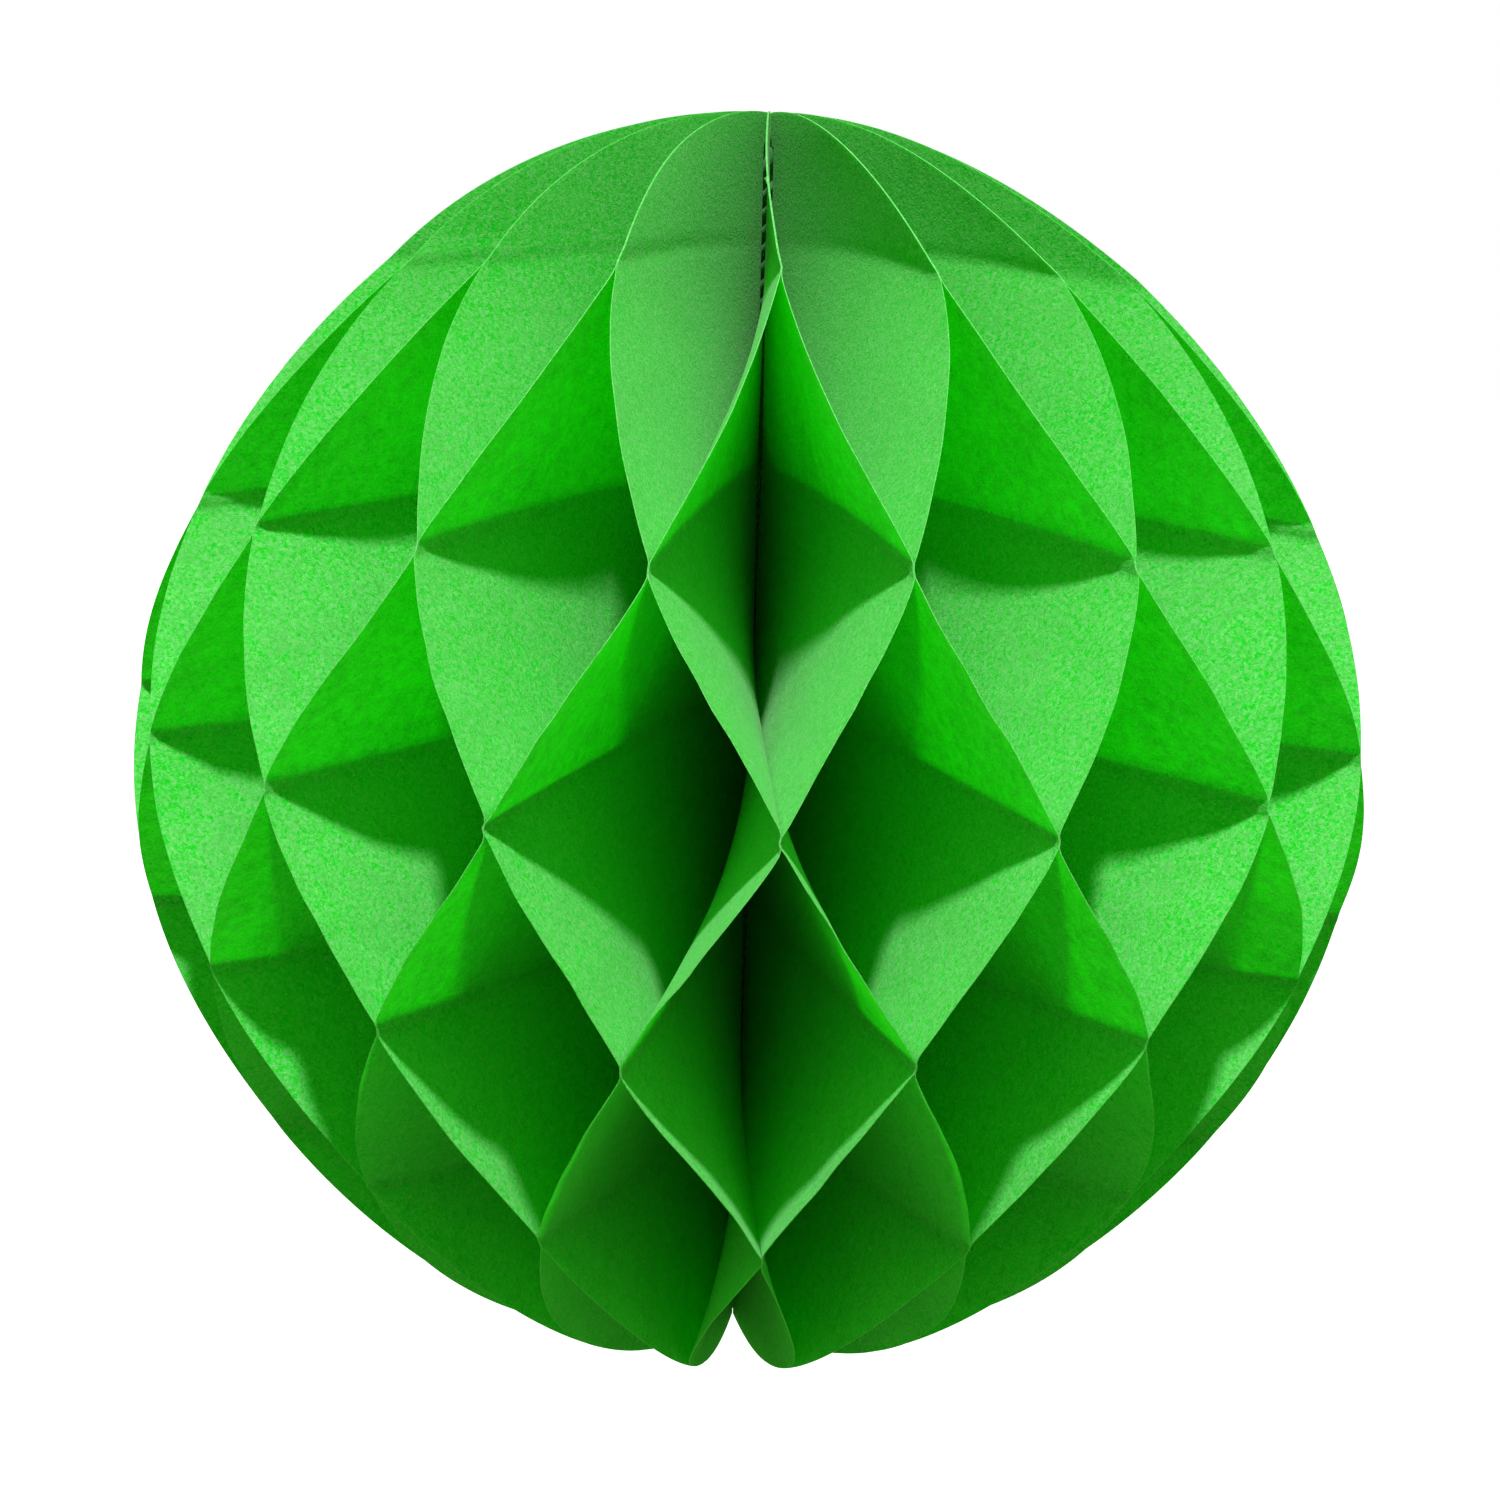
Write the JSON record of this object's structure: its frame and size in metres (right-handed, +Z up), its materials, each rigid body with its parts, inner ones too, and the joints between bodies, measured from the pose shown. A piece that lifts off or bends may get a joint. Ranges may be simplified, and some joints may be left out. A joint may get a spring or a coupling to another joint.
{
  "type": "paper honeycomb ball",
  "caption": "Hanging ball of glued tissue-paper leaves that opens like a fan round a spine cord into a honeycomb of diamond cells, with two card covers stuck back to back.",
  "frame": {"origin": "centre of the ball, on the spine's axis, half-way between its two poles", "axes": "+Z up along the spine, -Y to the front of the ball, +Y to the seam where the two covers meet"},
  "size_m": [0.2, 0.1988, 0.206],
  "materials": {
    "tissue": "matte green tissue paper",
    "card": "matte green card",
    "adhesive": "white double-sided tape",
    "cord": "dull green cotton"
  },
  "bodies": {
    "cover_left": {"cover_left": "card", "spine_cord": "cord", "spine_knot_lower": "cord", "spine_knot_upper": "cord"},
    "cover_right": {"cover_right": "card", "closure_strip_lower": "adhesive", "closure_strip_middle": "adhesive", "closure_strip_upper": "adhesive"},
    "leaf_01": {"leaf_01": "tissue"},
    "leaf_02": {"leaf_02": "tissue"},
    "leaf_03": {"leaf_03": "tissue"},
    "leaf_04": {"leaf_04": "tissue"},
    "leaf_05": {"leaf_05": "tissue"},
    "leaf_06": {"leaf_06": "tissue"},
    "leaf_07": {"leaf_07": "tissue"},
    "leaf_08": {"leaf_08": "tissue"},
    "leaf_09": {"leaf_09": "tissue"},
    "leaf_10": {"leaf_10": "tissue"},
    "leaf_11": {"leaf_11": "tissue"},
    "leaf_12": {"leaf_12": "tissue"},
    "leaf_13": {"leaf_13": "tissue"},
    "leaf_14": {"leaf_14": "tissue"},
    "leaf_15": {"leaf_15": "tissue"},
    "leaf_16": {"leaf_16": "tissue"},
    "leaf_17": {"leaf_17": "tissue"},
    "leaf_18": {"leaf_18": "tissue"},
    "leaf_19": {"leaf_19": "tissue"},
    "leaf_20": {"leaf_20": "tissue"},
    "leaf_21": {"leaf_21": "tissue"},
    "leaf_22": {"leaf_22": "tissue"},
    "leaf_23": {"leaf_23": "tissue"},
    "leaf_24": {"leaf_24": "tissue"},
    "leaf_25": {"leaf_25": "tissue"},
    "leaf_26": {"leaf_26": "tissue"},
    "leaf_27": {"leaf_27": "tissue"},
    "leaf_28": {"leaf_28": "tissue"},
    "leaf_29": {"leaf_29": "tissue"},
    "leaf_30": {"leaf_30": "tissue"},
    "leaf_31": {"leaf_31": "tissue"},
    "leaf_32": {"leaf_32": "tissue"},
    "leaf_33": {"leaf_33": "tissue"},
    "leaf_34": {"leaf_34": "tissue"}
  },
  "joints": [
    {"name": "fan_close", "type": "hinge", "parent": "cover_left", "child": "cover_right", "pos_m": [0, 0, 0], "axis": [0, 0, -1], "range_deg": [0, 352]},
    {"name": "leaf_01_fan", "type": "hinge", "parent": "cover_left", "child": "leaf_01", "pos_m": [0, 0, 0], "axis": [0, 0, -1], "range_deg": [0, 5.68], "deforming": ["leaf_01"]},
    {"name": "leaf_02_fan", "type": "hinge", "parent": "cover_left", "child": "leaf_02", "pos_m": [0, 0, 0], "axis": [0, 0, -1], "range_deg": [0, 16.03], "deforming": ["leaf_02"]},
    {"name": "leaf_03_fan", "type": "hinge", "parent": "cover_left", "child": "leaf_03", "pos_m": [0, 0, 0], "axis": [0, 0, -1], "range_deg": [0, 26.38], "deforming": ["leaf_03"]},
    {"name": "leaf_04_fan", "type": "hinge", "parent": "cover_left", "child": "leaf_04", "pos_m": [0, 0, 0], "axis": [0, 0, -1], "range_deg": [0, 36.73], "deforming": ["leaf_04"]},
    {"name": "leaf_05_fan", "type": "hinge", "parent": "cover_left", "child": "leaf_05", "pos_m": [0, 0, 0], "axis": [0, 0, -1], "range_deg": [0, 47.09], "deforming": ["leaf_05"]},
    {"name": "leaf_06_fan", "type": "hinge", "parent": "cover_left", "child": "leaf_06", "pos_m": [0, 0, 0], "axis": [0, 0, -1], "range_deg": [0, 57.44], "deforming": ["leaf_06"]},
    {"name": "leaf_07_fan", "type": "hinge", "parent": "cover_left", "child": "leaf_07", "pos_m": [0, 0, 0], "axis": [0, 0, -1], "range_deg": [0, 67.79], "deforming": ["leaf_07"]},
    {"name": "leaf_08_fan", "type": "hinge", "parent": "cover_left", "child": "leaf_08", "pos_m": [0, 0, 0], "axis": [0, 0, -1], "range_deg": [0, 78.15], "deforming": ["leaf_08"]},
    {"name": "leaf_09_fan", "type": "hinge", "parent": "cover_left", "child": "leaf_09", "pos_m": [0, 0, 0], "axis": [0, 0, -1], "range_deg": [0, 88.5], "deforming": ["leaf_09"]},
    {"name": "leaf_10_fan", "type": "hinge", "parent": "cover_left", "child": "leaf_10", "pos_m": [0, 0, 0], "axis": [0, 0, -1], "range_deg": [0, 98.85], "deforming": ["leaf_10"]},
    {"name": "leaf_11_fan", "type": "hinge", "parent": "cover_left", "child": "leaf_11", "pos_m": [0, 0, 0], "axis": [0, 0, -1], "range_deg": [0, 109.21], "deforming": ["leaf_11"]},
    {"name": "leaf_12_fan", "type": "hinge", "parent": "cover_left", "child": "leaf_12", "pos_m": [0, 0, 0], "axis": [0, 0, -1], "range_deg": [0, 119.56], "deforming": ["leaf_12"]},
    {"name": "leaf_13_fan", "type": "hinge", "parent": "cover_left", "child": "leaf_13", "pos_m": [0, 0, 0], "axis": [0, 0, -1], "range_deg": [0, 129.91], "deforming": ["leaf_13"]},
    {"name": "leaf_14_fan", "type": "hinge", "parent": "cover_left", "child": "leaf_14", "pos_m": [0, 0, 0], "axis": [0, 0, -1], "range_deg": [0, 140.26], "deforming": ["leaf_14"]},
    {"name": "leaf_15_fan", "type": "hinge", "parent": "cover_left", "child": "leaf_15", "pos_m": [0, 0, 0], "axis": [0, 0, -1], "range_deg": [0, 150.62], "deforming": ["leaf_15"]},
    {"name": "leaf_16_fan", "type": "hinge", "parent": "cover_left", "child": "leaf_16", "pos_m": [0, 0, 0], "axis": [0, 0, -1], "range_deg": [0, 160.97], "deforming": ["leaf_16"]},
    {"name": "leaf_17_fan", "type": "hinge", "parent": "cover_left", "child": "leaf_17", "pos_m": [0, 0, 0], "axis": [0, 0, -1], "range_deg": [0, 171.32], "deforming": ["leaf_17"]},
    {"name": "leaf_18_fan", "type": "hinge", "parent": "cover_left", "child": "leaf_18", "pos_m": [0, 0, 0], "axis": [0, 0, -1], "range_deg": [0, 181.68], "deforming": ["leaf_18"]},
    {"name": "leaf_19_fan", "type": "hinge", "parent": "cover_left", "child": "leaf_19", "pos_m": [0, 0, 0], "axis": [0, 0, -1], "range_deg": [0, 192.03], "deforming": ["leaf_19"]},
    {"name": "leaf_20_fan", "type": "hinge", "parent": "cover_left", "child": "leaf_20", "pos_m": [0, 0, 0], "axis": [0, 0, -1], "range_deg": [0, 202.38], "deforming": ["leaf_20"]},
    {"name": "leaf_21_fan", "type": "hinge", "parent": "cover_left", "child": "leaf_21", "pos_m": [0, 0, 0], "axis": [0, 0, -1], "range_deg": [0, 212.74], "deforming": ["leaf_21"]},
    {"name": "leaf_22_fan", "type": "hinge", "parent": "cover_left", "child": "leaf_22", "pos_m": [0, 0, 0], "axis": [0, 0, -1], "range_deg": [0, 223.09], "deforming": ["leaf_22"]},
    {"name": "leaf_23_fan", "type": "hinge", "parent": "cover_left", "child": "leaf_23", "pos_m": [0, 0, 0], "axis": [0, 0, -1], "range_deg": [0, 233.44], "deforming": ["leaf_23"]},
    {"name": "leaf_24_fan", "type": "hinge", "parent": "cover_left", "child": "leaf_24", "pos_m": [0, 0, 0], "axis": [0, 0, -1], "range_deg": [0, 243.79], "deforming": ["leaf_24"]},
    {"name": "leaf_25_fan", "type": "hinge", "parent": "cover_left", "child": "leaf_25", "pos_m": [0, 0, 0], "axis": [0, 0, -1], "range_deg": [0, 254.15], "deforming": ["leaf_25"]},
    {"name": "leaf_26_fan", "type": "hinge", "parent": "cover_left", "child": "leaf_26", "pos_m": [0, 0, 0], "axis": [0, 0, -1], "range_deg": [0, 264.5], "deforming": ["leaf_26"]},
    {"name": "leaf_27_fan", "type": "hinge", "parent": "cover_left", "child": "leaf_27", "pos_m": [0, 0, 0], "axis": [0, 0, -1], "range_deg": [0, 274.85], "deforming": ["leaf_27"]},
    {"name": "leaf_28_fan", "type": "hinge", "parent": "cover_left", "child": "leaf_28", "pos_m": [0, 0, 0], "axis": [0, 0, -1], "range_deg": [0, 285.21], "deforming": ["leaf_28"]},
    {"name": "leaf_29_fan", "type": "hinge", "parent": "cover_left", "child": "leaf_29", "pos_m": [0, 0, 0], "axis": [0, 0, -1], "range_deg": [0, 295.56], "deforming": ["leaf_29"]},
    {"name": "leaf_30_fan", "type": "hinge", "parent": "cover_left", "child": "leaf_30", "pos_m": [0, 0, 0], "axis": [0, 0, -1], "range_deg": [0, 305.91], "deforming": ["leaf_30"]},
    {"name": "leaf_31_fan", "type": "hinge", "parent": "cover_left", "child": "leaf_31", "pos_m": [0, 0, 0], "axis": [0, 0, -1], "range_deg": [0, 316.26], "deforming": ["leaf_31"]},
    {"name": "leaf_32_fan", "type": "hinge", "parent": "cover_left", "child": "leaf_32", "pos_m": [0, 0, 0], "axis": [0, 0, -1], "range_deg": [0, 326.62], "deforming": ["leaf_32"]},
    {"name": "leaf_33_fan", "type": "hinge", "parent": "cover_left", "child": "leaf_33", "pos_m": [0, 0, 0], "axis": [0, 0, -1], "range_deg": [0, 336.97], "deforming": ["leaf_33"]},
    {"name": "leaf_34_fan", "type": "hinge", "parent": "cover_left", "child": "leaf_34", "pos_m": [0, 0, 0], "axis": [0, 0, -1], "range_deg": [0, 347.32], "deforming": ["leaf_34"]}
  ],
  "couplings": [
    {"joint": "leaf_01_fan", "follows": "fan_close", "ratio": 0.014706},
    {"joint": "leaf_02_fan", "follows": "fan_close", "ratio": 0.044118},
    {"joint": "leaf_03_fan", "follows": "fan_close", "ratio": 0.073529},
    {"joint": "leaf_04_fan", "follows": "fan_close", "ratio": 0.10294},
    {"joint": "leaf_05_fan", "follows": "fan_close", "ratio": 0.13235},
    {"joint": "leaf_06_fan", "follows": "fan_close", "ratio": 0.16176},
    {"joint": "leaf_07_fan", "follows": "fan_close", "ratio": 0.19118},
    {"joint": "leaf_08_fan", "follows": "fan_close", "ratio": 0.22059},
    {"joint": "leaf_09_fan", "follows": "fan_close", "ratio": 0.25},
    {"joint": "leaf_10_fan", "follows": "fan_close", "ratio": 0.27941},
    {"joint": "leaf_11_fan", "follows": "fan_close", "ratio": 0.30882},
    {"joint": "leaf_12_fan", "follows": "fan_close", "ratio": 0.33824},
    {"joint": "leaf_13_fan", "follows": "fan_close", "ratio": 0.36765},
    {"joint": "leaf_14_fan", "follows": "fan_close", "ratio": 0.39706},
    {"joint": "leaf_15_fan", "follows": "fan_close", "ratio": 0.42647},
    {"joint": "leaf_16_fan", "follows": "fan_close", "ratio": 0.45588},
    {"joint": "leaf_17_fan", "follows": "fan_close", "ratio": 0.48529},
    {"joint": "leaf_18_fan", "follows": "fan_close", "ratio": 0.51471},
    {"joint": "leaf_19_fan", "follows": "fan_close", "ratio": 0.54412},
    {"joint": "leaf_20_fan", "follows": "fan_close", "ratio": 0.57353},
    {"joint": "leaf_21_fan", "follows": "fan_close", "ratio": 0.60294},
    {"joint": "leaf_22_fan", "follows": "fan_close", "ratio": 0.63235},
    {"joint": "leaf_23_fan", "follows": "fan_close", "ratio": 0.66177},
    {"joint": "leaf_24_fan", "follows": "fan_close", "ratio": 0.69118},
    {"joint": "leaf_25_fan", "follows": "fan_close", "ratio": 0.72059},
    {"joint": "leaf_26_fan", "follows": "fan_close", "ratio": 0.75},
    {"joint": "leaf_27_fan", "follows": "fan_close", "ratio": 0.77941},
    {"joint": "leaf_28_fan", "follows": "fan_close", "ratio": 0.80882},
    {"joint": "leaf_29_fan", "follows": "fan_close", "ratio": 0.83823},
    {"joint": "leaf_30_fan", "follows": "fan_close", "ratio": 0.86765},
    {"joint": "leaf_31_fan", "follows": "fan_close", "ratio": 0.89706},
    {"joint": "leaf_32_fan", "follows": "fan_close", "ratio": 0.92647},
    {"joint": "leaf_33_fan", "follows": "fan_close", "ratio": 0.95588},
    {"joint": "leaf_34_fan", "follows": "fan_close", "ratio": 0.98529}
  ]
}
